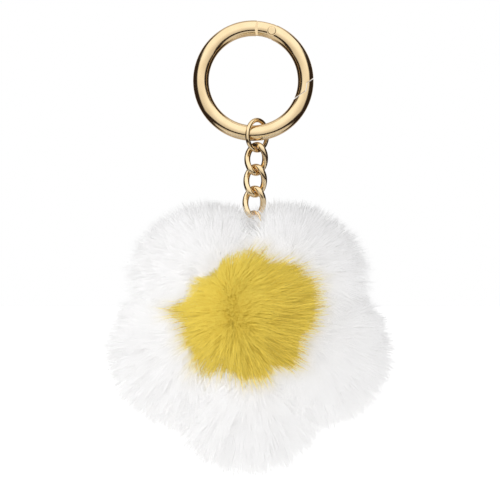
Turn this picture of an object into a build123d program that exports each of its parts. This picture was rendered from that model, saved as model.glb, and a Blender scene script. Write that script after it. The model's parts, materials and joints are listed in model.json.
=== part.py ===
"""Fur flower charm on a spring-gate ring, hung by a twisted curb chain.  Millimetres, +Z up.

The origin is the centre of the gate ring.  The charm hangs below it, and its front faces -Y.
The chain and the flower are modelled plumb, and then hung a little to the right and leaning a little.
"""
from build123d import *
import os
from math import acos, atan2, cos, hypot, pi, radians, sin

os.makedirs("parts", exist_ok=True)

# ---- gate ring ----
RING_R = 17.4             # centreline radius: 40 mm across the outside
TUBE_R = 2.6              # round bar that the ring is bent from
RIVET_CLOCK = 20.5        # hinge rivet, degrees clockwise from the top as seen from the front
EAR_END_X = 1.47          # where the gate's two ears stop, just right of the top
SHOULDER = [(1.6, 21.5), (0.45, 17.0), (1.05, 13.8)]   # x, z of the body's undercut shoulder
NOSE = [(RING_R + 4.4, 84.3), (RING_R + 0.3, 92.3),    # radius, clock angle of the stepped joint
        (RING_R + 0.2, 101.0), (RING_R - 3.0, 115.6)]
NOSE_GAP = (0.20, -0.25)  # x, z from the gate's side of that joint to the body's side
TANG_HALF = 1.0           # tang of the body, half thickness
SLOT_HALF = 1.1           # slot between the gate's ears, half width
TANG_END_R = 2.45         # round end of the tang, about the rivet
SLOT_END_R = 2.75
TANG_INSET = 0.15         # the tang lies this far inside the bar's surface

# ---- hinge rivet, follower and spring ----
SHAFT_R = 0.80
SHAFT_HOLE_R = 0.84
HEAD_R = 1.40
HEAD_HOLE_R = 1.58
HEAD_IN = 2.15            # distance of a head's underside from the ring's mid plane
HEAD_OUT = 2.80
BORE_R = 0.85             # blind bore in the gate for the follower and its spring
BORE_DROP = 0.90          # how far the bore's axis passes inside the rivet's centre
BORE_END = 8.0            # end of the bore, measured along the gate from the rivet
CAM_FLAT = 1.60           # flat of the tang that the follower presses on
FOLLOWER_START = 1.66
FOLLOWER_END = 4.10
FOLLOWER_R = 0.80
COIL_WIRE_R = 0.125
COIL_R = 0.65
COIL_TURNS = 8

# ---- chain, from the top down ----
JUMP_R = 5.03             # centreline radius of the jump ring
JUMP_WIRE_R = 0.75
JUMP_Z = -18.15
JUMP_YAW = 50.0           # the jump ring is turned this far from the front
JUMP_SLIT = 0.12          # butt joint of the jump ring
LINK_WIRE_R = 1.0
LINK_HALF_WIDTH = 2.95    # wire centre
LINK_HALF_LENGTH = 4.65
LINK_SQUARENESS = 2.4     # 2 is an ellipse
LINK_POINTS = 12          # spline points along each half of a link
TWIST = 45.0              # each end of a link is turned this far, opposite ways
LINK_GAP = 0.06           # slack where two wires hang on each other
LINK_COUNT = 3
END_RING_R = 3.0
END_WIRE_R = 0.5
HANG_CLOCK = 4.4          # degrees right of the ring's lowest point, where the chain hangs from the bar
LEAN = 2.5                # degrees that the chain and flower lean, the flower towards -X

# ---- cord loop of the flower ----
CORD_R = 0.70
LOOP_R = 2.2
LOOP_LEG = 12.0           # straight run from the round top to the knot
LOOP_FOOT = 0.80          # half the distance between the legs at the knot
KNOT_R = 2.9

# ---- flower ----
FLOWER_Z = -82.0
PETALS = 5
PETAL_FIRST = 56.5        # direction of the first petal, degrees up from +X; they go clockwise
PETAL_OUT = 19.7          # a petal's centre from the flower's centre
PETAL_R = 24.5
PETAL_HALF = 15.0         # half thickness
PETAL_BACK = 1.2          # the petals sit this far behind the chain, to balance the centre
SEAM_GAP = 0.15           # half the gap between two petals
RIM_SHARE = 0.66          # a cushion's rim radius as a share of its half thickness
HIDE = 1.2                # thickness of the fur's hide
FILL_GAP = 0.1            # between the hide and the stuffing
CENTRE_R = 19.5
CENTRE_HALF = 10.0
CENTRE_AT = (-0.9, -14.0, FLOWER_Z + 4.7)
CENTRE_CLEAR = 0.3
THROAT_TOP_R = 9.5        # funnel between the two upper petals, where the chain goes in
THROAT_R = 6.5
THROAT_TOP_Z = -41.0
THROAT_Z = -54.0
NECK_R = 2.6
CHAMBER_R = 3.3
BACK_R = 12.0             # felt disc behind
BACK_THICK = 1.2
BACK_Y = 12.4             # its inner face
BACK_POCKET_Y = 11.0
THREAD_R = 0.4
THREAD_RING_R = 9.0
THREAD_Y = 11.6

TANGENT = Vector(cos(radians(RIVET_CLOCK)), 0, -sin(radians(RIVET_CLOCK)))
RADIAL = Vector(sin(radians(RIVET_CLOCK)), 0, cos(radians(RIVET_CLOCK)))


def clock(radius, degrees):
    """x, z of a point at a clock angle about the ring's centre."""
    return radius * sin(radians(degrees)), radius * cos(radians(degrees))


def near_rivet(along, out):
    """x, z of a point given along the gate and outwards from the rivet's centre."""
    p = RADIAL * (RING_R + out) + TANGENT * along
    return p.X, p.Z


def plate(outline, half):
    """A flat plate of an x, z outline, half thick each way along Y."""
    return extrude(Plane.XZ * make_face(Polyline(*outline, close=True)), amount=half, both=True)


def rod_y(radius, half, x, z, y=0.0):
    """A cylinder along Y."""
    return Pos(x, y, z) * Rot(X=90) * Cylinder(radius, 2 * half)


def rod_along_gate(radius, start, end):
    """A cylinder on the axis of the gate's bore."""
    x, z = near_rivet(start, -BORE_DROP)
    base = Plane(origin=(x, 0, z), z_dir=TANGENT)
    return base * Cylinder(radius, end - start, align=(Align.CENTER, Align.CENTER, Align.MIN))


def ring_bar(radius=TUBE_R):
    return Rot(X=90) * Torus(RING_R, radius)


def nose_points(shift=(0.0, 0.0)):
    spots = [clock(radius, angle) for radius, angle in NOSE]
    return [(x + shift[0], z + shift[1]) for x, z in spots]


# ---- ring pieces ----
def make_ring_gate():
    """The hinged quarter of the ring: two ears, a slot for the tang and a blind spring bore."""
    region = [(EAR_END_X, 12), (EAR_END_X, 23), (24, 23)] + nose_points()
    slot = plate([near_rivet(-9, -5), near_rivet(-9, 5), near_rivet(0, 5), near_rivet(0, -5)], SLOT_HALF)
    x, z = near_rivet(0, 0)
    gate = ring_bar() & plate(region, 4)
    gate -= slot + rod_y(SLOT_END_R, SLOT_HALF, x, z)
    gate -= rod_y(SHAFT_HOLE_R, 4, x, z)
    for side in (-1, 1):
        gate -= rod_y(HEAD_HOLE_R, 1, x, z, side * (HEAD_IN + 0.95))
    return gate - rod_along_gate(BORE_R, CAM_FLAT, BORE_END)


def make_ring_body():
    """The fixed three quarters of the ring, with the tang that the gate turns on."""
    region = SHOULDER[::-1] + [(24, 23)] + nose_points(NOSE_GAP) + [(SHOULDER[-1][0], 8)]
    x, z = near_rivet(0, 0)
    neck = plate([(0.2, 12), (0.2, 23), near_rivet(0, 5), near_rivet(0, -5)], TANG_HALF)
    tang = (ring_bar(TUBE_R - TANG_INSET) & neck) + rod_y(TANG_END_R, TANG_HALF, x, z)
    tang -= plate([near_rivet(CAM_FLAT, 0), near_rivet(4, 0), near_rivet(4, -4), near_rivet(CAM_FLAT, -4)], 2)
    return (ring_bar() - plate(region, 4)) + tang - rod_y(SHAFT_R, 4, x, z)


def make_rivet():
    x, z = near_rivet(0, 0)
    rivet = rod_y(SHAFT_R, HEAD_OUT - 0.2, x, z)
    for side in (-1, 1):
        head = rod_y(HEAD_R, (HEAD_OUT - HEAD_IN) / 2, x, z, side * (HEAD_OUT + HEAD_IN) / 2)
        outer = head.edges().sort_by(Axis.Y)[-1 if side > 0 else 0]
        rivet += fillet(outer, 0.35)
    return rivet


def make_follower():
    """The pin that the spring presses on the flat of the tang."""
    return rod_along_gate(FOLLOWER_R, FOLLOWER_START, FOLLOWER_END)


def make_gate_spring():
    """Compression spring between the follower and the end of the bore."""
    start = FOLLOWER_END + COIL_WIRE_R + 0.02
    length = BORE_END - COIL_WIRE_R - 0.02 - start
    x, z = near_rivet(start, -BORE_DROP)
    path = Helix(pitch=length / COIL_TURNS, height=length, radius=COIL_R)
    section = Plane(origin=path @ 0, z_dir=path % 0) * Circle(COIL_WIRE_R)
    return Plane(origin=(x, 0, z), z_dir=TANGENT) * sweep(section, path=path, is_frenet=True)


# ---- chain pieces ----
def upright_ring(radius, wire, z, yaw):
    """A round wire ring standing in the upright plane that is turned by yaw from the front."""
    return Pos(0, 0, z) * Rot(Z=yaw) * Rot(X=90) * Torus(radius, wire)


def make_jump_ring():
    ring = upright_ring(JUMP_R, JUMP_WIRE_R, JUMP_Z, JUMP_YAW)
    slit = Pos(0, 0, JUMP_Z) * Rot(Z=JUMP_YAW) * Pos(JUMP_R, 0, 0) * Box(4, 4, JUMP_SLIT)
    return ring - slit


def link_point(angle):
    """The wire's centre on a curb link: a rounded oval whose ends are turned opposite ways."""
    c, s = cos(angle), sin(angle)
    n = LINK_SQUARENESS
    reach = (abs(c / LINK_HALF_WIDTH) ** n + abs(s / LINK_HALF_LENGTH) ** n) ** (-1 / n)
    across, up = reach * c, reach * s
    yaw = -radians(TWIST) * up / LINK_HALF_LENGTH
    return across * cos(yaw), across * sin(yaw), up


def link_tangent(angle):
    step = 1e-4
    return (Vector(*link_point(angle + step)) - Vector(*link_point(angle - step))).normalized()


def half_link(start):
    """Half of a link, swept from one of its sides to the other."""
    angles = [start + pi * i / LINK_POINTS for i in range(LINK_POINTS + 1)]
    ends = [link_tangent(angles[0]), link_tangent(angles[-1])]
    path = Wire([Edge.make_spline([Vector(*link_point(a)) for a in angles], tangents=ends)])
    return sweep(Plane(origin=path @ 0, z_dir=path % 0) * Circle(LINK_WIRE_R), path=path)


def make_link(z):
    return Pos(0, 0, z) * (half_link(0) + half_link(pi))


def make_hanging_loop(top_z):
    """White cord: a round top, two legs that close in, and the knot that holds them."""
    hyp = hypot(LOOP_R, LOOP_LEG)
    lean = acos(LOOP_FOOT / hyp) - atan2(LOOP_LEG, LOOP_R)
    x, z = LOOP_R * cos(lean), -LOOP_R - LOOP_R * sin(lean)
    foot = z - LOOP_LEG * cos(lean)
    path = Wire([Edge.make_line((-LOOP_FOOT, 0, foot), (-x, 0, z)),
                 Edge.make_three_point_arc((-x, 0, z), (0, 0, 0), (x, 0, z)),
                 Edge.make_line((x, 0, z), (LOOP_FOOT, 0, foot))])
    section = Plane(origin=path @ 0, z_dir=path % 0) * Circle(CORD_R)
    knot = Pos(0, 0, foot - 0.8 * KNOT_R) * Sphere(KNOT_R)
    return Pos(0, 0, top_z) * Rot(Z=TWIST) * (sweep(section, path=path) + knot)


# ---- flower pieces ----
def cushion(radius, half):
    """A round cushion about the Y axis: two shallow domes that a full round rim joins."""
    rim = RIM_SHARE * half
    dome = ((radius - rim) ** 2 + half ** 2 - rim ** 2) / (2 * (half - rim))
    slope = atan2(dome - half, radius - rim)
    x, y = radius - rim + rim * cos(slope), rim * sin(slope)
    profile = ThreePointArc((x, -y), (radius, 0), (x, y))
    for side in (-1, 1):
        middle = pi / 4 + slope / 2
        waypoint = (dome * cos(middle), side * (dome * sin(middle) - dome + half))
        profile += ThreePointArc((x, side * y), waypoint, (0, side * half))
    profile += Line((0, half), (0, -half))
    return revolve(make_face(profile), axis=Axis.Y, revolution_arc=360)


def wedge(direction, inset):
    """The sector of one petal, with its two side faces moved in by inset."""
    half = 180 / PETALS
    apex = inset / sin(radians(half))
    far = 90
    spots = [(apex, 0)] + [(apex + far * cos(radians(a)), far * sin(radians(a))) for a in (half, -half)]
    turn = radians(direction)
    outline = [(u * cos(turn) - v * sin(turn), FLOWER_Z + u * sin(turn) + v * cos(turn)) for u, v in spots]
    return plate(outline, 40)


def throat(grow):
    """Room for the chain's end, the loop's legs and its knot."""
    knot_z = LOOP_TOP_Z - LOOP_R - LOOP_LEG
    funnel = Pos(0, 0, (THROAT_TOP_Z + THROAT_Z) / 2) * Cone(
        THROAT_R + grow, THROAT_TOP_R + grow, THROAT_TOP_Z - THROAT_Z)
    mouth = Pos(0, 0, THROAT_TOP_Z + 6) * Cylinder(THROAT_TOP_R + grow, 12)
    neck = Pos(0, 0, (THROAT_Z + knot_z) / 2) * Cylinder(NECK_R + grow, THROAT_Z - knot_z + 1)
    chamber = Pos(0, 0, knot_z - 0.8 * KNOT_R) * Sphere(CHAMBER_R + grow)
    return funnel + mouth + neck + chamber


def back_pocket(grow):
    return rod_y(BACK_R + 0.4 + grow, 10, 0, FLOWER_Z, BACK_POCKET_Y + 10 - grow)


def petal_form(direction, inset):
    """A petal's solid, every face moved in by inset."""
    turn = radians(direction)
    ball = cushion(PETAL_R - inset, PETAL_HALF - inset)
    ball = Pos(PETAL_OUT * cos(turn), PETAL_BACK, FLOWER_Z + PETAL_OUT * sin(turn)) * ball
    centre = Pos(*CENTRE_AT) * cushion(CENTRE_R + CENTRE_CLEAR + inset, CENTRE_HALF + CENTRE_CLEAR + inset)
    form = ball & wedge(direction, SEAM_GAP + inset)
    return form - centre - throat(inset) - back_pocket(inset)


def make_petal(direction):
    """The fur hide of a petal and the stuffing in it."""
    cover = petal_form(direction, 0) - petal_form(direction, HIDE)
    return cover, petal_form(direction, HIDE + FILL_GAP)


def make_centre():
    outer = cushion(CENTRE_R, CENTRE_HALF)
    cover = outer - cushion(CENTRE_R - HIDE, CENTRE_HALF - HIDE)
    fill = cushion(CENTRE_R - HIDE - FILL_GAP, CENTRE_HALF - HIDE - FILL_GAP)
    return Pos(*CENTRE_AT) * cover, Pos(*CENTRE_AT) * fill


def make_backing():
    return fillet(rod_y(BACK_R, BACK_THICK / 2, 0, FLOWER_Z, BACK_Y + BACK_THICK / 2).edges(), 0.3)


def make_gather_thread():
    """The ring of thread that draws the five petals together behind."""
    return Pos(0, THREAD_Y, FLOWER_Z) * Rot(X=90) * Torus(THREAD_RING_R, THREAD_R)


def hang(shape):
    """A plumb piece of the chain or flower, moved to where it hangs from the ring's bar."""
    x, z = clock(RING_R, 180 - HANG_CLOCK)
    return Pos(x, 0, z) * Rot(Y=LEAN) * Pos(0, 0, RING_R) * shape


# ---- where the chain's pieces hang ----
link_drop = 2 * LINK_HALF_LENGTH - (2 * LINK_WIRE_R + LINK_GAP)
first_link_z = JUMP_Z - JUMP_R + JUMP_WIRE_R + LINK_WIRE_R + LINK_GAP - LINK_HALF_LENGTH
last_wire_z = first_link_z - (LINK_COUNT - 1) * link_drop - LINK_HALF_LENGTH
end_ring_z = last_wire_z + LINK_WIRE_R + END_WIRE_R + LINK_GAP - END_RING_R
LOOP_TOP_Z = end_ring_z - END_RING_R + END_WIRE_R + CORD_R + LINK_GAP

ring = {
    "ring_body": make_ring_body(),
    "ring_gate": make_ring_gate(),
    "hinge_rivet": make_rivet(),
    "spring_follower": make_follower(),
    "gate_spring": make_gate_spring(),
}
charm = {
    "jump_ring": make_jump_ring(),
    "end_ring": upright_ring(END_RING_R, END_WIRE_R, end_ring_z, -TWIST),
    "hanging_loop": make_hanging_loop(LOOP_TOP_Z),
    "backing_disc": make_backing(),
    "gather_thread": make_gather_thread(),
}
for i in range(LINK_COUNT):
    charm[f"chain_link_{i + 1}"] = make_link(first_link_z - i * link_drop)
for i in range(PETALS):
    cover, fill = make_petal(PETAL_FIRST - i * 360 / PETALS)
    charm[f"petal_cover_{i + 1}"] = cover
    charm[f"petal_fill_{i + 1}"] = fill
charm["centre_cover"], charm["centre_fill"] = make_centre()

for node, shape in ring.items():
    export_step(shape, f"parts/{node}.step")
for node, shape in charm.items():
    export_step(hang(shape), f"parts/{node}.step")
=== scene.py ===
"""Looks of a fur flower charm: white fur petals round a shaggy yellow centre, on a gold ring and chain.

The fur is worked out in millimetres about the flower's centre, as if it hung plumb, with Z up and
the front at -Y.  It is then leaned as the frame leans, and written to its meshes in metres.
"""
import json
from math import cos, pi, radians, sin, sqrt, tau
import bmesh
import bpy
import numpy as np
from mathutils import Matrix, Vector


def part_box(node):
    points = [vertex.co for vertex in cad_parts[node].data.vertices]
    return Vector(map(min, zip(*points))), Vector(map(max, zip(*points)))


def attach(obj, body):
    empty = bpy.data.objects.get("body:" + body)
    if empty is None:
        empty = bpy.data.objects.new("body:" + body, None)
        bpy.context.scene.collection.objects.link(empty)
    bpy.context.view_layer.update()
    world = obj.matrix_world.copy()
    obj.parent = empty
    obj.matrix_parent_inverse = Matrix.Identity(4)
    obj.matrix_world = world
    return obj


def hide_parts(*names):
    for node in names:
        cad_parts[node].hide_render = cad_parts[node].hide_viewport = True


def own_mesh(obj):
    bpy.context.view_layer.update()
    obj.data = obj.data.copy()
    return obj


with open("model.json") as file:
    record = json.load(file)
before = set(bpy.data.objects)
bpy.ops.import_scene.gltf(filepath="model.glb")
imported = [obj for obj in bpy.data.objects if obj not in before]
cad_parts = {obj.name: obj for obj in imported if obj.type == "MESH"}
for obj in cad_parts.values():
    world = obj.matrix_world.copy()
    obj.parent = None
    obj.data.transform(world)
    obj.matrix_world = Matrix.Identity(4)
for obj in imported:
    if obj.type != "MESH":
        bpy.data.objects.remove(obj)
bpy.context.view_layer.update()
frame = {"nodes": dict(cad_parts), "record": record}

MM = 0.001
SEED = 20
PETALS = 5
PETAL_FIRST = 56.5         # direction of petal 1, degrees up from +X; they go clockwise

# ---- places taken from the frame, in millimetres ----


def box_of(node):
    """The middle and the size of a node's box."""
    low, high = (np.array(corner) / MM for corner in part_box(node))
    return (low + high) / 2, high - low


DISC, DISC_SIZE = box_of("backing_disc")
FLOWER = DISC * (1, 0, 1)                               # the flower's centre
HANG_FROM = box_of("jump_ring")[0] * (1, 0, 1)
LEAN = np.arctan2(*(HANG_FROM - FLOWER)[[0, 2]])        # the charm leans this far from plumb
LEANING = np.array(((cos(LEAN), 0, sin(LEAN)), (0, 1, 0), (-sin(LEAN), 0, cos(LEAN))))
petal_mid, petal_size = box_of("petal_cover_3")
REACH = FLOWER[2] - petal_mid[2] + petal_size[2] / 2    # lowest point of the low petal from the centre
PETAL_HALF = petal_size[1] / 2
PETAL_Y = petal_mid[1]
PETAL_OUT = 0.446 * REACH                               # a petal's centre from the flower's centre
PETAL_R = REACH - PETAL_OUT
tuft_mid, tuft_size = box_of("centre_cover")
TUFT = (tuft_mid - FLOWER) @ LEANING
TUFT_R = tuft_size[0] / 2
TUFT_HALF = tuft_size[1] / 2

KNOT_R = 2.9               # the hanging loop's knot
loop_mid, loop_size = box_of("hanging_loop")
LOOP_TOP = ((loop_mid - FLOWER) @ LEANING)[2] + loop_size[2] / 2
KNOT_Z = LOOP_TOP - loop_size[2] + KNOT_R

# ---- fur, in millimetres ----
HIDE_DEPTH = 5.5           # the hide lies this far inside the fur's outer surface
WAD_DEPTH = 7.2            # and the stuffing this far
FUR_HEIGHT = 10.9          # height of the white fur over its hide
SEAM_ROOM = 0.6            # half the gap between two hides
ROUNDING = 2.5             # softness of a hide's edges where it meets its neighbours
ROOM_ROUNDING = 1.0        # and where it keeps clear of the cord, the chain and the felt
POWER = 2.1                # squareness of a cushion's section
TUFT_GIVE = 3.0            # how far the petals press into the yellow centre
TUFT_ROOM = 1.0            # the gap that is left there
BACK_POCKET_R = 12.4       # room for the felt disc
BACK_POCKET_Y = 11.0
THROAT_R = 5.0             # room for the end ring and the chain, wider upwards
THROAT_Z = 28.0            # where it is that wide, above the flower's centre
THROAT_FOOT = 4.0          # it starts this far below
THROAT_SLOPE = 0.23
NECK_R = 3.2               # room for the cord's legs
KNOT_ROOM = 3.4            # and for its knot
NO_ROOM = -9.0             # stands for a room that isn't there
CAST_FAR = 48.0            # a form's surface is looked for this far from its centre
CAST_STEPS = 96
CAST_HALVINGS = 14
HIDE_DETAIL = 6            # fineness of the balls that hides and stuffing are made from
WAD_DETAIL = 5
HIDE_LUMPS = (0.25, 7.0)   # height and width
WAD_LUMPS = (0.3, 5.0)

# ---- cord loop, felt disc and thread, in millimetres ----
CORD_R = 0.66
CORD_PITCH = 4.2           # one turn of the cord's three plies
LOOP_R = 2.2
LOOP_FOOT = 0.8            # half the distance between the legs at the knot
LOOP_TURN = 45             # degrees about the vertical
KNOT_SCALE = 0.62          # size and depth of the knot's line, which is a trefoil
KNOT_DEPTH = 1.7
KNOT_CORD = 1.2            # the cord's thickness in the knot, where it is squeezed flat and wide
ARC_POINTS, LEG_POINTS, KNOT_POINTS = 48, 40, 160
PLY_OVERLAP = 1.04
EDGE_R = 0.35              # rounding of the disc's edge
STITCHES = 32
STITCH_POINTS = 12         # points round the disc for each stitch
STITCH_R = 0.19
STITCH_LENGTH = 1.35       # from the disc's edge inwards
STITCH_LIFT = 0.02
DRAWN_WIDTH = 2.2          # the edge is drawn in over this width
DRAWN_IN = 0.16
DRAWN_THIN = 0.22          # share of its thickness that the felt loses at a stitch
THREAD_PITCH = 2.4

# ---- hair, in millimetres ----
DROOP = np.array([0, 0, -0.32])
WHITE_STRANDS = 19500      # a petal's
YELLOW_STRANDS = 12000     # in each of the centre's two coats
GUARD_HAIRS = 2200
WHITE_RINGS = 2            # cross sections of a strand, before its tip
YELLOW_RINGS = 3
TAPER = 0.55               # share of its width that a strand loses along its rings
WHITE_WIDTH = (0.14, 0.24)
UNDER_WIDTH = (0.18, 0.30)
OUTER_WIDTH = (0.13, 0.24)
GUARD_WIDTH = (0.10, 0.17)
TONES = (0.02, 0.98)       # the darkest and the lightest strand
STRAND_MAP = "OFBake"      # u is a strand's own tone, v runs from its root to its tip
TONE_WIDTH = 0.004

WHITE_LENGTH = (7.0, 13.5)
WHITE_UNEVEN = (0.70, 1.06)
OPEN_DEPTH = 2.5           # no hair grows where the hide is pressed in deeper than this
SWIRL = 7.0                # the larger, the softer the parting at a petal's middle
TOP_SHORTER = 0.24
BELOW_LONGER = 0.26
RIM_LONGER = 0.24
SEAM_SHORTER = 0.25        # makes the outline's notches between the petals
PAINTED_SHADE_FROM, PAINTED_SHADE_OVER = 20.0, 18.0         # painted shade: the fur's tone is darker from here outwards, evening out how it is lit


def unit(v):
    return v / np.maximum(np.linalg.norm(v, axis=-1, keepdims=True), 1e-9)


def smooth_max(a, b, soft):
    h = np.clip(0.5 + 0.5 * (a - b) / soft, 0, 1)
    return b + (a - b) * h + soft * h * (1 - h)


# ---------------------------------------------------------------- forms
def cushion(p, centre, radius, half):
    """Signed distance, roughly, to a round cushion about the Y axis: negative inside."""
    q = p - centre
    flat = np.hypot(q[:, 0], q[:, 2]) / radius
    swell = (flat ** POWER + (np.abs(q[:, 1]) / half) ** POWER) ** (1 / POWER)
    return np.linalg.norm(q, axis=1) * (1 - 1 / np.maximum(swell, 1e-6))


def petal_centre(direction):
    turn = radians(direction)
    return np.array([PETAL_OUT * cos(turn), PETAL_Y, PETAL_OUT * sin(turn)])


def petal_hide(direction, depth):
    """The form of a petal's hide: a cushion that its neighbours, the centre and the chain press into."""
    centre = petal_centre(direction)
    half = pi / PETALS
    inset = depth - HIDE_DEPTH

    def form(p):
        d = cushion(p, centre, PETAL_R - depth, PETAL_HALF - depth)
        for side in (-1, 1):
            turn = radians(direction) + side * (half + pi / 2)
            plane = p[:, 0] * cos(turn) + p[:, 2] * sin(turn) + SEAM_ROOM + inset
            d = smooth_max(d, plane, ROUNDING)
        tuft = cushion(p, TUFT, TUFT_R - TUFT_GIVE, TUFT_HALF)
        d = smooth_max(d, TUFT_ROOM + inset - tuft, ROUNDING)
        aside = np.hypot(p[:, 0], p[:, 1])
        funnel = THROAT_R + THROAT_SLOPE * (p[:, 2] - THROAT_Z) - aside
        throat = np.where(p[:, 2] > THROAT_Z - THROAT_FOOT, funnel, NO_ROOM)
        neck = np.where(p[:, 2] > KNOT_Z, NECK_R - aside, NO_ROOM)
        knot = KNOT_ROOM - np.linalg.norm(p - (0, 0, KNOT_Z), axis=1)
        pocket = np.minimum(BACK_POCKET_R - np.hypot(p[:, 0], p[:, 2]), p[:, 1] - BACK_POCKET_Y)
        for room in (throat, neck, knot, pocket):
            d = smooth_max(d, room + inset, ROOM_ROUNDING)
        return d

    return form, centre


def ball(detail):
    """Directions and triangles of an even ball."""
    bm = bmesh.new()
    bmesh.ops.create_icosphere(bm, subdivisions=detail, radius=1)
    dirs = np.array([v.co for v in bm.verts])
    tris = np.array([[v.index for v in f.verts] for f in bm.faces])
    bm.free()
    return unit(dirs), tris


def cast(form, centre, dirs):
    """Where the rays from the centre leave the form."""
    inside, outside = np.zeros(len(dirs)), np.full(len(dirs), CAST_FAR)
    found = np.zeros(len(dirs), bool)
    for t in np.linspace(0, CAST_FAR, CAST_STEPS + 1)[1:]:
        out = (form(centre + dirs * t) > 0) & ~found
        outside[out] = t
        found |= out
        inside[~found] = t
    for _ in range(CAST_HALVINGS):
        middle = (inside + outside) / 2
        out = form(centre + dirs * middle[:, None]) > 0
        outside, inside = np.where(out, middle, outside), np.where(out, inside, middle)
    return centre + dirs * inside[:, None]


def vertex_normals(verts, tris):
    a, b, c = (verts[tris[:, i]] for i in range(3))
    flat = np.cross(b - a, c - a)
    total = np.zeros_like(verts)
    for i in range(3):
        np.add.at(total, tris[:, i], flat)
    return unit(total)


def lumps(p, size, rng, waves=14):
    """Smooth noise about 0: a sum of plane waves about size long."""
    total = np.zeros(len(p))
    for _ in range(waves):
        way = unit(rng.normal(size=3)) / size * rng.uniform(0.6, 1.6)
        total += np.sin(tau * (p @ way) + rng.uniform(0, tau))
    return total / np.sqrt(waves)


# ---------------------------------------------------------------- meshes
def new_object(name, data):
    """A new object in the scene."""
    ob = bpy.data.objects.new(name, data)
    bpy.context.scene.collection.objects.link(ob)
    return ob


def mesh_object(name, verts, tris, material, normals=None, uvs=None):
    """verts in the plumb flower's millimetres, tris as vertex numbers, uvs one for each corner."""
    me = bpy.data.meshes.new(name)
    me.vertices.add(len(verts))
    me.vertices.foreach_set("co", ((verts @ LEANING.T + FLOWER) * MM).astype(np.float32).ravel())
    me.loops.add(tris.size)
    me.loops.foreach_set("vertex_index", tris.astype(np.int32).ravel())
    me.polygons.add(len(tris))
    me.polygons.foreach_set("loop_start", np.arange(0, tris.size, 3, dtype=np.int32))
    me.update(calc_edges=True)
    me.polygons.foreach_set("use_smooth", np.ones(len(tris), bool))
    if uvs is not None:
        me.uv_layers.new(name=STRAND_MAP).data.foreach_set("uv", uvs.astype(np.float32).ravel())
    if normals is not None:
        me.normals_split_custom_set_from_vertices((normals @ LEANING.T).tolist())
    me.materials.append(material)
    return new_object(name, me)


def sample(verts, tris, count, rng):
    """Evenly spread points on a mesh, with their normals."""
    a, b, c = (verts[tris[:, i]] for i in range(3))
    area = np.linalg.norm(np.cross(b - a, c - a), axis=1)
    pick = rng.choice(len(tris), count, p=area / area.sum())
    u, v = rng.random(count), rng.random(count)
    flip = u + v > 1
    u[flip], v[flip] = 1 - u[flip], 1 - v[flip]
    w = np.stack([1 - u - v, u, v], 1)[:, :, None]
    normals = vertex_normals(verts, tris)
    return (verts[tris[pick]] * w).sum(1), unit((normals[tris[pick]] * w).sum(1))


def nearest(points, hubs):
    """The number of the nearest hub to each point."""
    best = np.empty(len(points), int)
    batch = 2000
    for start in range(0, len(points), batch):
        part = points[start:start + batch]
        best[start:start + batch] = ((part[:, None] - hubs[None]) ** 2).sum(2).argmin(1)
    return best


def strand_paths(roots, first, last, length, rings, rng, wave, clump=None, lock=1):
    """Points along each strand, shaped (strands, rings + 1, 3): it leaves along first and bends to last.
    wave is its waviness, and clump is how far a tip closes in on its lock, of about lock strands."""
    s = np.linspace(0, 1, rings + 1)[None, :, None]
    reach = length[:, None, None]
    paths = roots[:, None] + reach * (first[:, None] * (s - s * s / 2) + last[:, None] * s * s / 2)
    if clump is not None:
        hubs = rng.choice(len(roots), max(len(roots) // lock, 1), replace=False)
        own = hubs[nearest(roots, roots[hubs])]
        pull = np.broadcast_to(clump, len(roots))[:, None, None] * s ** 1.4
        paths = paths + pull * (paths[own] - paths)
    sway = unit(rng.normal(size=roots.shape))[:, None]
    phase = rng.uniform(0, tau, len(roots))[:, None, None]
    return paths + wave * reach * s * sway * np.sin(phase + s * pi * 1.3)


def strand_mesh(name, paths, outward, width, tone, material, softness):
    """Closed three-sided tapering hairs. softness is how far their shading follows the fur's surface."""
    count, rings = len(paths), paths.shape[1] - 1
    along = unit(np.gradient(paths, axis=1))
    side = unit(np.cross(along, np.broadcast_to(outward[:, None], along.shape)))
    up = np.cross(side, along)
    turns = np.array([pi / 2, pi / 2 + tau / 3, pi / 2 + 2 * tau / 3])
    rim = (np.cos(turns)[None, None, :, None] * side[:, :rings, None]
           + np.sin(turns)[None, None, :, None] * up[:, :rings, None])
    s = np.arange(rings) / rings
    thick = width[:, None] * (1 - TAPER * s[None]) / 2
    tubes = paths[:, :rings, None] + rim * thick[:, :, None, None]
    per = 3 * rings + 1
    verts = np.concatenate([tubes.reshape(count, 3 * rings, 3), paths[:, rings:]], 1)
    lean = outward[:, None]
    shade = np.concatenate([rim.reshape(count, 3 * rings, 3), np.broadcast_to(lean, (count, 1, 3))], 1)
    shade = unit(shade * (1 - softness) + lean * softness)
    tris = [(0, 1, 2)]
    for k in range(rings - 1):
        for j in range(3):
            a, b = 3 * k + j, 3 * k + (j + 1) % 3
            tris += [(a, b + 3, b), (a, a + 3, b + 3)]
    tris += [(3 * rings - 3 + j, 3 * rings, 3 * rings - 3 + (j + 1) % 3) for j in range(3)]
    tris = np.array(tris)
    height = np.array([k / rings for k in range(rings) for _ in range(3)] + [1.0])
    u = tone[:, None] + TONE_WIDTH * np.array([-1, 0, 1] * rings + [0])[None]
    uv = np.stack([u, np.broadcast_to(height[None], u.shape)], 2)
    corners = uv[:, tris.ravel()].reshape(-1, 2)
    every = (np.arange(count)[:, None, None] * per + tris[None]).reshape(-1, 3)
    return mesh_object(name, verts.reshape(-1, 3), every, material, shade.reshape(-1, 3), corners)


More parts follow.
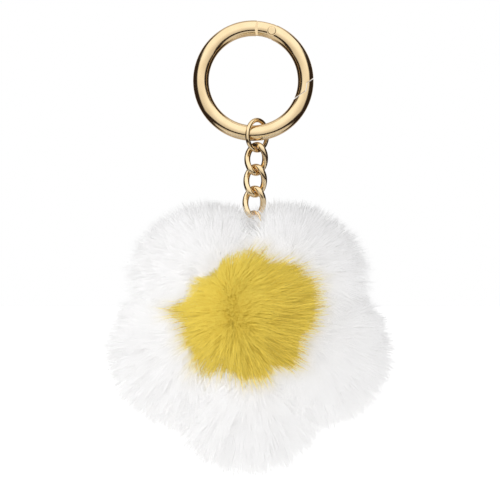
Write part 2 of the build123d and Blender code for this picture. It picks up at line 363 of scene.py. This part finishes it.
# ---------------------------------------------------------------- materials
class Nodes:
    """Short calls for one material's or the world's nodes."""

    def __init__(self, tree):
        self.tree = tree
        tree.nodes.clear()

    def add(self, kind, **values):
        node = self.tree.nodes.new(kind)
        for key, value in values.items():
            setattr(node, key, value)
        return node

    def link(self, a, b):
        self.tree.links.new(a, b)

    def feed(self, socket, value):
        """Give a socket another socket, a number or a colour."""
        if hasattr(value, "is_linked"):
            self.link(value, socket)
        else:
            socket.default_value = value if isinstance(value, float) else (*value, 1)

    def math(self, operation, a, b=0.0):
        node = self.add("ShaderNodeMath", operation=operation)
        self.feed(node.inputs[0], a)
        self.feed(node.inputs[1], b)
        return node.outputs[0]

    def ramp(self, factor, stops):
        node = self.add("ShaderNodeValToRGB")
        elements = node.color_ramp.elements
        while len(elements) < len(stops):
            elements.new(0.5)
        for element, (place, colour) in zip(elements, stops):
            element.position = place
            element.color = (*colour, 1)
        self.link(factor, node.inputs[0])
        return node.outputs[0]

    def mix(self, kind, factor, a, b):
        node = self.add("ShaderNodeMix", data_type="RGBA", blend_type=kind)
        for place, value in ((0, factor), (6, a), (7, b)):
            self.feed(node.inputs[place], value)
        return node.outputs[2]

    def smooth(self, value, low, high):
        node = self.add("ShaderNodeMapRange", interpolation_type="SMOOTHSTEP")
        self.link(value, node.inputs[0])
        node.inputs[1].default_value = low
        node.inputs[2].default_value = high
        return node.outputs[0]

    def noise(self, scale, detail=3.0):
        node = self.add("ShaderNodeTexNoise")
        node.inputs["Scale"].default_value = scale
        node.inputs["Detail"].default_value = detail
        self.link(self.add("ShaderNodeTexCoord").outputs["Object"], node.inputs["Vector"])
        return node.outputs["Fac"]

    def vary(self, shader, socket, factor, stops):
        """Let a ramp of the factor set one of a shader's inputs."""
        self.link(self.ramp(factor, stops), shader.inputs[socket])

    def bump(self, shader, height, strength, distance):
        node = self.add("ShaderNodeBump")
        node.inputs["Strength"].default_value = strength
        node.inputs["Distance"].default_value = distance
        self.link(height, node.inputs["Height"])
        self.link(node.outputs[0], shader.inputs["Normal"])

    def background(self, colour):
        node = self.add("ShaderNodeBackground")
        self.feed(node.inputs[0], colour)
        return node.outputs[0]

    def blend(self, factor, a, b):
        """A mix of two shaders."""
        node = self.add("ShaderNodeMixShader")
        for socket, value in zip(node.inputs, (factor, a, b)):
            self.link(value, socket)
        return node.outputs[0]


def principled(name, **values):
    """A new material's nodes and its Principled shader."""
    mat = bpy.data.materials.new(name)
    mat.use_nodes = True
    n = Nodes(mat.node_tree)
    shader = n.add("ShaderNodeBsdfPrincipled")
    out = n.add("ShaderNodeOutputMaterial")
    n.link(shader.outputs[0], out.inputs[0])
    for key, value in values.items():
        shader.inputs[key.replace("_", " ")].default_value = value
    return mat, n, shader


def fur_material(name, root, tip, dark, light, **values):
    """Colour runs from root to tip, and each strand has its own tone between dark and light."""
    mat, n, shader = principled(name, Roughness=0.8, Specular_IOR_Level=0.25, **values)
    split = n.add("ShaderNodeSeparateXYZ")
    n.link(n.add("ShaderNodeUVMap", uv_map=STRAND_MAP).outputs[0], split.inputs[0])
    length = n.ramp(split.outputs[1], [(0.0, root), (0.75, tip)])
    tone = n.ramp(split.outputs[0], [(0.0, dark), (1.0, light)])
    n.link(n.mix("MULTIPLY", 1.0, length, tone), shader.inputs["Base Color"])
    return mat


def hide_material(name, low, high, glow, strength):
    """A hide or a wad of fibre, which shows only between the hairs; its glow is painted light that keeps it
    as light as they are in the shade between them.
    """
    mat, n, shader = principled(name, Roughness=0.95, Specular_IOR_Level=0.1,
                                Emission_Color=(*glow, 1), Emission_Strength=strength)
    n.vary(shader, "Base Color", n.noise(900.0), [(0.35, low), (0.65, high)])
    n.bump(shader, n.noise(2500.0), 0.4, 0.0003)
    return mat


def gold_material():
    """Bright gold plate with the faint unevenness of a polished casting."""
    mat, n, shader = principled("gold_plate", Metallic=1.0)
    n.vary(shader, "Base Color", n.noise(260.0), [(0.3, (0.84, 0.66, 0.41)), (0.7, (0.89, 0.72, 0.47))])
    n.vary(shader, "Roughness", n.noise(500.0), [(0.3, (0.09,) * 3), (0.7, (0.15,) * 3)])
    n.bump(shader, n.noise(900.0, 2.0), 0.05, 0.0002)
    return mat


def steel_material():
    mat, n, shader = principled("spring_steel", Metallic=1.0)
    n.vary(shader, "Base Color", n.noise(3000.0), [(0.3, (0.45,) * 3), (0.7, (0.6,) * 3)])
    n.vary(shader, "Roughness", n.noise(1800.0), [(0.3, (0.25,) * 3), (0.7, (0.4,) * 3)])
    return mat


def cord_material():
    """White cotton yarn: fine pale fibres."""
    mat, n, shader = principled("loop_cord", Roughness=0.9, Sheen_Weight=0.3)
    fibres = n.noise(5200.0, 5.0)
    n.vary(shader, "Base Color", fibres, [(0.3, (0.72, 0.71, 0.68)), (0.65, (0.90, 0.90, 0.88))])
    n.bump(shader, fibres, 0.6, 0.0001)
    return mat


def felt_material():
    mat, n, shader = principled("felt", Roughness=0.95, Sheen_Weight=0.4)
    pale = [(0.3, (0.66, 0.65, 0.62)), (0.7, (0.86, 0.85, 0.83))]
    n.vary(shader, "Base Color", n.noise(1500.0, 6.0), pale)
    n.bump(shader, n.noise(2600.0, 6.0), 0.8, 0.0003)
    return mat


WHITE_GLOW = (1, 0.99, 0.985)             # stands in for light that scatters in the hair
# painted light as well: the yellow fur and the yellow hide glow with this colour
YELLOW_GLOW = (0.78, 0.58, 0.07)
# painted light: both furs glow, which lightens them and softens the shade between their strands
WHITE_FUR = fur_material("white_fur", (0.94, 0.935, 0.93), (0.965, 0.963, 0.96),
                         (0.86, 0.86, 0.865), (1.0, 1.0, 1.0),
                         Emission_Color=(*WHITE_GLOW, 1), Emission_Strength=0.32)
YELLOW_FUR = fur_material("yellow_fur", (0.74, 0.57, 0.08), (0.93, 0.735, 0.13),
                          (0.56, 0.52, 0.42), (1.0, 1.0, 1.0), Sheen_Weight=0.1,
                          Emission_Color=(*YELLOW_GLOW, 1), Emission_Strength=0.15)
# painted light: the hides and the stuffing glow, so that they stay light in the shade between the hairs
WHITE_HIDE = hide_material("white_hide", (0.92, 0.91, 0.90), (0.96, 0.95, 0.94), WHITE_GLOW, 0.24)
YELLOW_HIDE = hide_material("yellow_hide", (0.70, 0.54, 0.07), (0.84, 0.65, 0.10), YELLOW_GLOW, 0.16)
STUFFING = hide_material("stuffing", (0.80, 0.80, 0.78), (0.93, 0.93, 0.92), (1, 1, 0.98), 0.1)
GOLD, STEEL, CORD, FELT = gold_material(), steel_material(), cord_material(), felt_material()


# ---------------------------------------------------------------- stuffing
def lumpy(verts, tris, height, width, rng):
    """The vertices moved in and out by smooth lumps."""
    return verts + vertex_normals(verts, tris) * (height * lumps(verts, width, rng))[:, None]


def make_stuffing(name, node, form, centre, rng):
    """The lumpy wad of fibre in a hide."""
    dirs, tris = ball(WAD_DETAIL)
    verts = lumpy(cast(form, centre, dirs), tris, *WAD_LUMPS, rng)
    wad = mesh_object(name, verts, tris, STUFFING)
    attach(wad, "flower")
    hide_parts(node)


# ---------------------------------------------------------------- petals
def make_petal(number, rng):
    """A petal's hide, its stuffing and its coat of hair."""
    direction = PETAL_FIRST - (number - 1) * 360 / PETALS
    form, centre = petal_hide(direction, HIDE_DEPTH)
    dirs, tris = ball(HIDE_DETAIL)
    verts = lumpy(cast(form, centre, dirs), tris, *HIDE_LUMPS, rng)
    hide = mesh_object(f"petal_hide_{number}", verts, tris, WHITE_HIDE)
    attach(hide, "flower")
    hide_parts(f"petal_cover_{number}")
    wad_form, _ = petal_hide(direction, WAD_DEPTH)
    make_stuffing(f"petal_stuffing_{number}", f"petal_fill_{number}", wad_form, centre, rng)

    roots, out = sample(verts, tris, WHITE_STRANDS * 3, rng)
    open_fur = cushion(roots, centre, PETAL_R - HIDE_DEPTH, PETAL_HALF - HIDE_DEPTH) > -OPEN_DEPTH
    roots, out = roots[open_fur][:WHITE_STRANDS], out[open_fur][:WHITE_STRANDS]
    count = len(roots)
    flow = roots * np.array([1, 0, 1])
    own = (roots - centre) * np.array([1, 0, 1])
    own /= np.linalg.norm(own, axis=1, keepdims=True) + SWIRL
    flow = unit(unit(flow) * 0.35 + own * 1.2 + DROOP)
    drift = np.stack([lumps(roots, 9.0, rng) for _ in range(3)], 1)
    first = unit(out + flow * 0.25 + 0.04 * drift + 0.14 * rng.normal(size=out.shape))
    last = unit(out + flow * 0.6 + DROOP * 0.6 + 0.06 * drift + 0.20 * rng.normal(size=out.shape))
    rise = (((first + last) / 2) * out).sum(1)
    length = np.clip(FUR_HEIGHT / np.maximum(rise, 0.2), *WHITE_LENGTH) * rng.uniform(*WHITE_UNEVEN, count)
    length *= 1 + 0.04 * lumps(roots, 5.0, rng)
    length *= 1 - np.where(out[:, 2] > 0, TOP_SHORTER, BELOW_LONGER) * out[:, 2]
    rim = np.clip((unit(roots * (1, 0, 1)) * out).sum(1), 0, 1)
    length *= 1 + RIM_LONGER * rim ** 2 * (1 - np.abs(out[:, 2]))
    aside = (np.degrees(np.arctan2(roots[:, 2], roots[:, 0])) - direction + 180) % 360 - 180
    length *= 1 - SEAM_SHORTER * rim * np.clip(np.abs(aside) * PETALS / 180, 0, 1) ** 3
    paths = strand_paths(roots, first, last, length, WHITE_RINGS, rng, wave=0.03)
    width = rng.uniform(*WHITE_WIDTH, count)
    # painted shade: a darker tone towards the rim, the right and the top, to even out how the lamps light
    # the fur
    far = np.clip((np.hypot(roots[:, 0], roots[:, 2]) - PAINTED_SHADE_FROM) / PAINTED_SHADE_OVER, 0, 1)
    painted_shade = 0.75 * far + (0.10 * roots[:, 0] + 0.30 * np.maximum(roots[:, 2], 0)) / REACH
    tone = np.clip(0.95 - painted_shade + 0.06 * rng.normal(size=count), *TONES)
    fur = strand_mesh(f"petal_fur_{number}", paths, out, width, tone, WHITE_FUR, 0.93)
    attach(fur, "flower")


# ---------------------------------------------------------------- yellow centre
PARTING = ((-5.0, 2.5), (-6.5, 11.0))     # x, z of the ends of the line that the yellow hair parts from
OUTLINE_MID = np.array([-0.8, 0.0, 4.9])
# the outline's spikes and dips: direction in degrees, height in millimetres, spread in degrees
LOBES = ((0, 1.4, 9), (30, 3.4, 14), (67, -3.0, 5), (92, 0.8, 10), (131, -4.4, 8), (154, 1.8, 6),
         (181, 7.5, 4), (209, 2.2, 9), (229, 7.5, 5), (241, 3.5, 5), (256, -0.4, 7), (271, 1.4, 4),
         (292, 1.4, 4), (303, -1.8, 4), (316, 3.2, 6), (338, -2.0, 8))
TUFT_REACH = 21.3          # of the outline between its lobes
FUR_FRONT = -33.3          # no hair's tip aims further to the front than this
CENTRE_BACK = 1.0          # the yellow hide's middle is this far behind the tuft's
CENTRE_R, CENTRE_HALF = 0.63, 0.75        # the hide's share of the tuft's radius and depth
BACK_LIMIT = 0.15          # no yellow hair grows on what faces further back
FIRST_ROOM = 12.0          # a first guess, in room_to_outline
YELLOW_LENGTH = (4.0, 20.0)
YELLOW_UNEVEN = (0.82, 1.04)
CROWN = (7.5, 0.95)        # longest hair at the parting, and what it gains with each millimetre off it
UNDER_CROWN = (8.5, 0.35)  # and the underfur's, with what it loses
UNDER_LENGTH = (5.0, 7.6)
UNDER_UNEVEN = (0.8, 1.05)
PALE, PALE_SHARE = 0.98, 0.22             # single light hairs over a darker coat
DARK = (0.1, 0.65)         # the tones of that coat
GUARD_OFF = 6.0            # guard hairs grow this far off the parting
GUARD_TONES, GUARD_SHARES = (0.03, 0.97), (0.45, 0.55)


def parting_flow(p):
    """Directions across the front away from the parting line, and the distances from it."""
    (x0, z0), (x1, z1) = PARTING
    run = np.array([x1 - x0, z1 - z0])
    flat = p[:, [0, 2]] - (x0, z0)
    share = np.clip(flat @ run / (run @ run), 0, 1)
    away = flat - share[:, None] * run
    return unit(np.stack([away[:, 0], 0 * away[:, 0], away[:, 1]], 1)), np.hypot(away[:, 0], away[:, 1])


def outline_reach(angle):
    """How far the yellow fur reaches in a direction, in millimetres from its middle."""
    total = np.full(len(angle), TUFT_REACH)
    for place, height, spread in LOBES:
        off = (np.degrees(angle) - place + 180) % 360 - 180
        total += height * np.exp(-0.5 * (off / spread) ** 2)
    return total


def room_to_outline(start, way):
    """How far each start can run along its way before it meets the outline."""
    room = np.full(len(start), FIRST_ROOM)
    ahead = (start * way).sum(1)
    for _ in range(6):
        end = start + way * room[:, None]
        reach = outline_reach(np.arctan2(end[:, 1], end[:, 0]))
        square = ahead ** 2 + reach ** 2 - (start ** 2).sum(1)
        room = np.maximum(np.sqrt(np.maximum(square, 0)) - ahead, 1.0)
    return room


def kept_back(length, start, way):
    """The lengths of hairs, shortened where their tips would stand too far to the front."""
    return np.minimum(length, (start[:, 1] - FUR_FRONT) / np.maximum(-way[:, 1], 0.05))


def make_centre(rng):
    """The yellow centre's hide, stuffing and three coats of hair."""
    dirs, tris = ball(HIDE_DETAIL)
    centre = TUFT + np.array([0, CENTRE_BACK, 0])

    def form(p):
        return cushion(p, centre, CENTRE_R * TUFT_R, CENTRE_HALF * TUFT_HALF)

    def wad_form(p):
        return form(p) + WAD_DEPTH - HIDE_DEPTH

    verts = cast(form, centre, dirs)
    hide = mesh_object("centre_hide", verts, tris, YELLOW_HIDE)
    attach(hide, "flower")
    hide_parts("centre_cover")
    make_stuffing("centre_stuffing", "centre_fill", wad_form, centre, rng)

    roots, out = sample(verts, tris, YELLOW_STRANDS * 5, rng)
    front = out[:, 1] < BACK_LIMIT
    roots, out = roots[front][:2 * YELLOW_STRANDS], out[front][:2 * YELLOW_STRANDS]
    under, over = slice(0, YELLOW_STRANDS), slice(YELLOW_STRANDS, None)
    flow, off = parting_flow(roots)
    lay = np.clip(0.3 + off / 9, 0, 1)[:, None]         # the hair stands up along the parting
    drift = np.stack([lumps(roots, 7.0, rng) for _ in range(3)], 1)
    first = unit(out * 0.8 + flow * 0.6 * lay + 0.12 * drift + 0.16 * rng.normal(size=out.shape))
    last = unit(out * (0.7 - 0.6 * lay) + flow * lay + 0.18 * drift + 0.13 * rng.normal(size=out.shape))
    around = roots - OUTLINE_MID
    run = room_to_outline(around[:, [0, 2]], unit((first + last)[:, [0, 2]]))
    travel = np.hypot(*((first + last) / 2)[:, [0, 2]].T)
    length = np.clip(run / np.maximum(travel, 0.3), *YELLOW_LENGTH)
    length = length * rng.uniform(*YELLOW_UNEVEN, len(roots))
    length = kept_back(np.minimum(length, CROWN[0] + CROWN[1] * off), roots, (first + last) / 2)
    combed = np.clip(0.5 - around[:, 2] / 16, 0, 1)      # wispy below, fluffy above

    airy = unit(out + 0.25 * flow * lay + 0.38 * rng.normal(size=out.shape))[under]
    height = np.clip(UNDER_CROWN[0] - UNDER_CROWN[1] * off[under], *UNDER_LENGTH)
    height = height * rng.uniform(*UNDER_UNEVEN, YELLOW_STRANDS)
    paths = strand_paths(roots[under], airy, airy, height, YELLOW_RINGS, rng, wave=0.05, clump=0.2, lock=10)
    # painted light: lightest at the top left, where the light comes from, and along the parting, where it
    # lifts the shade between the hairs
    painted_light = 0.022 * (around[:, 2] - 0.5 * around[:, 0]) + 0.6 * np.exp(-off / 6)
    tone = np.clip(rng.uniform(0.3, 0.7, YELLOW_STRANDS) + 1.6 * painted_light[under], *TONES)
    dress("centre_underfur", paths, out[under], rng.uniform(*UNDER_WIDTH, YELLOW_STRANDS), tone, 0.8)

    count = len(roots[over])
    paths = strand_paths(roots[over], first[over], last[over], length[over], YELLOW_RINGS, rng,
                         wave=0.03, clump=0.2 + 0.4 * combed[over], lock=13)
    pale = rng.random(count) < PALE_SHARE
    tone = np.clip(np.where(pale, PALE, rng.uniform(*DARK, count) + 1.6 * painted_light[over]), *TONES)
    dress("centre_fur", paths, out[over], rng.uniform(*OUTER_WIDTH, count), tone, 0.6)

    guard = rng.choice(np.nonzero(off > GUARD_OFF)[0], GUARD_HAIRS, replace=False)
    bend = unit(last[guard] + 0.15 * rng.normal(size=(GUARD_HAIRS, 3)))
    reach = length[guard] * rng.uniform(1.0, 1.2, GUARD_HAIRS) + rng.uniform(0.5, 5.5, GUARD_HAIRS)
    reach = kept_back(reach, roots[guard], (first[guard] + bend) / 2)
    paths = strand_paths(roots[guard], first[guard], bend, reach, YELLOW_RINGS, rng, wave=0.06)
    tone = rng.choice(GUARD_TONES, GUARD_HAIRS, p=GUARD_SHARES)
    dress("centre_guard_hairs", paths, out[guard], rng.uniform(*GUARD_WIDTH, GUARD_HAIRS), tone, 0.3)


def dress(name, paths, out, width, tone, softness):
    """Strands of the centre's hair, riding on the flower."""
    fur = strand_mesh(name, paths, out, width, tone, YELLOW_FUR, softness)
    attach(fur, "flower")


# ---------------------------------------------------------------- cord, thread and felt
def frames(line):
    """Two unit vectors across the line at each point, carried along it without twisting."""
    along = unit(np.gradient(line, axis=0))
    across = np.cross(along[0], (0.31, 0.95, 0.05))
    sides = []
    for way in along:
        across = unit(across - way * (across @ way))
        sides.append(across)
    return np.array(sides), np.cross(along, sides)


def tube(line, radius, sides=8, closed=False):
    """Vertices and triangles of a round tube along a line, capped unless its ends meet."""
    count = len(line)
    one, two = frames(line)
    turns = np.arange(sides) * tau / sides
    verts = line[:, None] + radius * (np.cos(turns)[None, :, None] * one[:, None]
                                      + np.sin(turns)[None, :, None] * two[:, None])
    tris = []
    for i in range(count if closed else count - 1):
        for j in range(sides):
            a, b = i * sides + j, i * sides + (j + 1) % sides
            c, d = (i + 1) % count * sides + j, (i + 1) % count * sides + (j + 1) % sides
            tris += [(a, b, d), (a, d, c)]
    verts = verts.reshape(-1, 3)
    if not closed:
        verts = np.concatenate([verts, line[[0, -1]]])
        first, last, foot = count * sides, count * sides + 1, (count - 1) * sides
        tris += [(first, (j + 1) % sides, j) for j in range(sides)]
        tris += [(last, foot + j, foot + (j + 1) % sides) for j in range(sides)]
    return verts, np.array(tris)


def plies(line, radius, pitch, closed=False):
    """Three twisted yarns that together make a cord of that radius along the line."""
    ply = radius / (1 + 2 / sqrt(3))
    step = np.linalg.norm(np.diff(line, axis=0), axis=1)
    run = np.concatenate([[0], np.cumsum(step)])
    if closed:
        whole = run[-1] + step[0]
        pitch = whole / round(whole / pitch)
    one, two = frames(line)
    for number in range(3):
        turn = (tau * run / pitch + number * tau / 3)[:, None]
        way = np.cos(turn) * one + np.sin(turn) * two
        yield tube(line + (radius - ply) * way, ply * PLY_OVERLAP, closed=closed)


def joined(parts):
    """One set of vertices and triangles from several."""
    verts, tris, start = [], [], 0
    for points, corners in parts:
        verts.append(points)
        tris.append(corners + start)
        start += len(points)
    return np.concatenate(verts), np.concatenate(tris)


def make_loop():
    """The twisted cord loop that the flower hangs by, with its knot."""
    top = LOOP_TOP - CORD_R - LOOP_R
    lean = (LOOP_R - LOOP_FOOT) / (top - KNOT_Z)
    turns = np.linspace(pi + lean, -lean, ARC_POINTS)
    arc = np.stack([LOOP_R * np.cos(turns), 0 * turns, top + LOOP_R * np.sin(turns)], 1)
    foot = np.array([LOOP_FOOT, 0, KNOT_Z + 0.3 * KNOT_R])
    other_foot = foot * (-1, 1, 1)
    share = np.linspace(0, 1, LEG_POINTS)[1:, None]
    line = np.concatenate([(other_foot + (arc[0] - other_foot) * share)[:-1], arc,
                           arc[-1] + (foot - arc[-1]) * share])
    t = np.linspace(0, tau, KNOT_POINTS, endpoint=False)
    knot_line = KNOT_SCALE * np.stack([np.sin(t) + 2 * np.sin(2 * t), np.cos(t) - 2 * np.cos(2 * t),
                                       -KNOT_DEPTH * np.sin(3 * t)], 1) + (0, 0, KNOT_Z)
    verts, tris = joined([*plies(line, CORD_R, CORD_PITCH),
                          *plies(knot_line, KNOT_CORD * CORD_R, CORD_PITCH)])
    turn = radians(LOOP_TURN)
    spun = verts @ np.array(((cos(turn), sin(turn), 0), (-sin(turn), cos(turn), 0), (0, 0, 1)))
    loop = mesh_object("cord_loop", spun, tris, CORD)
    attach(loop, "loop")
    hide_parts("hanging_loop")


def make_thread():
    """The twisted thread that draws the petals together behind."""
    mid, size = box_of("gather_thread")
    radius, count = size[0] / 2 - size[1] / 2, 288
    turns = np.arange(count) * tau / count
    line = np.stack([radius * np.cos(turns), np.full(count, mid[1]), radius * np.sin(turns)], 1)
    verts, tris = joined(plies(line, size[1] / 2, THREAD_PITCH, closed=True))
    thread = mesh_object("gathering", verts, tris, CORD)
    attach(thread, "flower")
    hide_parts("gather_thread")


def make_felt(rng):
    """The felt disc behind, drawn in a little at each of the whip stitches round its edge."""
    radius, thick, y = DISC_SIZE[0] / 2, DISC_SIZE[1], DISC[1]
    around = STITCH_POINTS * STITCHES
    bend = np.linspace(pi / 2, 0, 5)
    edge = [(radius - EDGE_R + EDGE_R * cos(a), thick / 2 - EDGE_R + EDGE_R * sin(a)) for a in bend]
    face = [(r, thick / 2) for r in np.linspace(0.5, radius - EDGE_R, 16)[:-1]]
    half = face + edge
    profile = np.array([*half, *[(r, -h) for r, h in half[::-1]]])
    turns = np.arange(around) * tau / around
    pull = 0.5 + 0.5 * np.cos(STITCHES * turns)[None]
    near = np.clip((profile[:, :1] - radius + DRAWN_WIDTH) / DRAWN_WIDTH, 0, 1)
    r = profile[:, :1] - DRAWN_IN * near * pull
    h = profile[:, 1:] * (1 - DRAWN_THIN * near * pull)
    verts = np.stack([r * np.cos(turns), y + h, r * np.sin(turns)], 2).reshape(-1, 3)
    verts = verts + np.array([0, 1, 0]) * (0.05 * lumps(verts, 3.0, rng))[:, None]
    tris = []
    for i in range(len(profile) - 1):
        for j in range(around):
            a, b = i * around + j, i * around + (j + 1) % around
            tris += [(a, b + around, b), (a, a + around, b + around)]
    last = len(verts)
    ends = np.array([[0, y + thick / 2, 0], [0, y - thick / 2, 0]])
    foot = (len(profile) - 1) * around
    tris += [(last, j, (j + 1) % around) for j in range(around)]
    tris += [(last + 1, foot + (j + 1) % around, foot + j) for j in range(around)]
    disc = mesh_object("felt_disc", np.concatenate([verts, ends]), np.array(tris), FELT)
    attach(disc, "flower")
    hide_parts("backing_disc")

    bows = []
    for number in range(STITCHES):
        t = np.linspace(0, pi, 14)
        out = radius - STITCH_LENGTH + STITCH_LENGTH * np.sin(t) ** 0.7
        turn = number * tau / STITCHES + 0.05 * np.cos(t) + rng.uniform(-0.01, 0.01)
        lift = (thick / 2 + STITCH_LIFT) * np.cos(t)
        bows.append(tube(np.stack([out * np.cos(turn), y + lift, out * np.sin(turn)], 1), STITCH_R))
    stitches = mesh_object("felt_stitches", *joined(bows), CORD)
    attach(stitches, "flower")


# ---------------------------------------------------------------- spring in the gate
def make_spring():
    """The gate's coil spring, which the follower squeezes against the end of its bore; here its mesh is
    copied as it is and rides on the gate.
    """
    spring = new_object("coil_spring", frame["nodes"]["gate_spring"].data.copy())
    spring.data.materials.clear()
    spring.data.materials.append(STEEL)
    slide = next(j for j in frame["record"]["behaviour"]["joints"] if j["name"] == "follower_slide")
    way = Vector(slide["axis"]).normalized()
    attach(spring, "gate")
    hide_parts("gate_spring")
    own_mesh(spring)


# ---------------------------------------------------------------- carried-over CAD nodes
def finish_nodes():
    """Gives every CAD node its slot's material."""
    kinds = {"gold_plate": GOLD, "spring_steel": STEEL, "loop_cord": CORD, "felt": FELT,
             "stuffing": STUFFING, "white_fur": WHITE_HIDE, "yellow_fur": YELLOW_HIDE}
    for part in frame["record"]["subparts"]:
        node = frame["nodes"][part["node"]]
        for slot in node.material_slots:
            slot.material = kinds[part["material_slot"]]


# ---------------------------------------------------------------- stage, light, camera
FLOOR_HALF = 3.0           # in metres
FLOOR_DROP = 0.085         # below the flower's centre


def make_floor():
    size, z = FLOOR_HALF, FLOWER[2] * MM - FLOOR_DROP
    me = bpy.data.meshes.new("floor")
    corners = [(-size, -size, z), (size, -size, z), (size, size, z), (-size, size, z)]
    me.from_pydata(corners, [], [(0, 1, 2, 3)])
    floor = new_object("floor", me)
    mat, n, shader = principled("floor", Roughness=0.9, Emission_Color=(1, 1, 1, 1), Emission_Strength=0.6)
    n.vary(shader, "Base Color", n.noise(4.0), [(0.3, (0.93,) * 3), (0.7, (0.95,) * 3)])
    me.materials.append(mat)
    floor.visible_glossy = False


WHITE = (1.0, 1.0, 1.0)
LEFT_LIGHT, RIGHT_LIGHT = (0.68, 0.68, 0.68), (0.58, 0.58, 0.59)          # on the fur
LOW_LIGHT, HIGH_LIGHT = (0.78, 0.74, 0.68), (1.25, 1.23, 1.17)            # in the gold, from the front
BACK_LIGHT, DARK_CARD = (0.55, 0.47, 0.38), (0.03, 0.02, 0.015)           # from behind, and the dark


def make_world():
    """White to the camera, soft white light on the fur, and a studio of light and dark for the gold."""
    world = bpy.data.worlds.new("studio")
    bpy.context.scene.world = world
    world.use_nodes = True
    n = Nodes(world.node_tree)
    axes = n.add("ShaderNodeSeparateXYZ")
    n.link(n.add("ShaderNodeTexCoord").outputs["Generated"], axes.inputs[0])
    x, y, z = axes.outputs
    across = n.math("ADD", n.math("ABSOLUTE", x), n.math("MULTIPLY", n.smooth(y, -0.05, 0.35), 0.32))
    side = n.smooth(across, 0.72, 0.88)
    stripe = n.math("MULTIPLY", n.smooth(z, -0.40, -0.47), n.smooth(z, -0.76, -0.66))
    under = n.math("MULTIPLY", n.smooth(z, -0.88, -0.94), n.smooth(y, 0.4, 0.2))
    stripe = n.math("MULTIPLY", stripe, n.smooth(y, 0.3, 0.1))
    dark = n.math("MAXIMUM", n.math("MAXIMUM", side, under), stripe)
    front = n.mix("MIX", n.smooth(z, -0.4, 0.5), LOW_LIGHT, HIGH_LIGHT)
    warm = n.mix("MIX", n.smooth(y, 0.1, 0.6), front, BACK_LIGHT)
    studio = n.background(n.mix("MIX", dark, warm, DARK_CARD))
    soft = n.background(n.mix("MIX", n.smooth(x, -0.9, 0.9), LEFT_LIGHT, RIGHT_LIGHT))
    path = n.add("ShaderNodeLightPath")
    lit = n.blend(path.outputs["Is Glossy Ray"], soft, studio)
    seen = n.blend(path.outputs["Is Camera Ray"], lit, n.background(WHITE))
    n.link(seen, n.add("ShaderNodeOutputWorld").inputs[0])


# name, place and size in metres, power in watts
LAMPS = (("key", (-0.35, -0.5, 0.25), 0.4, 1.4),
         ("fill", (0.4, -0.5, -0.1), 0.5, 0.6))


def make_lamp(name, place, size, power):
    """A square lamp that faces the flower."""
    data = bpy.data.lights.new(name, "AREA")
    data.size, data.energy = size, power
    lamp = new_object(name, data)
    lamp.location = place
    lamp.rotation_euler = (Vector(FLOWER * MM) - Vector(place)).to_track_quat("-Z", "Y").to_euler()
    lamp.visible_glossy = False


VIEW_ACROSS = 0.166        # width of the view at the chain's plane, in metres
VIEW_MID = (-0.0011, 0.0, -0.0562)
LENS = 135.0
SENSOR = 36.0


def make_camera():
    data = bpy.data.cameras.new("camera")
    data.lens, data.sensor_width = LENS, SENSOR
    camera = new_object("camera", data)
    camera.location = (VIEW_MID[0], -VIEW_ACROSS * LENS / SENSOR, VIEW_MID[2])
    camera.rotation_euler = (pi / 2, 0, 0)
    bpy.context.scene.camera = camera


rng = np.random.default_rng(SEED)
for number in range(1, PETALS + 1):
    make_petal(number, rng)
make_centre(rng)
make_loop()
make_thread()
make_felt(rng)
make_spring()
finish_nodes()
make_floor()
make_world()
for lamp in LAMPS:
    make_lamp(*lamp)
make_camera()
bpy.context.scene.view_settings.view_transform = "Standard"
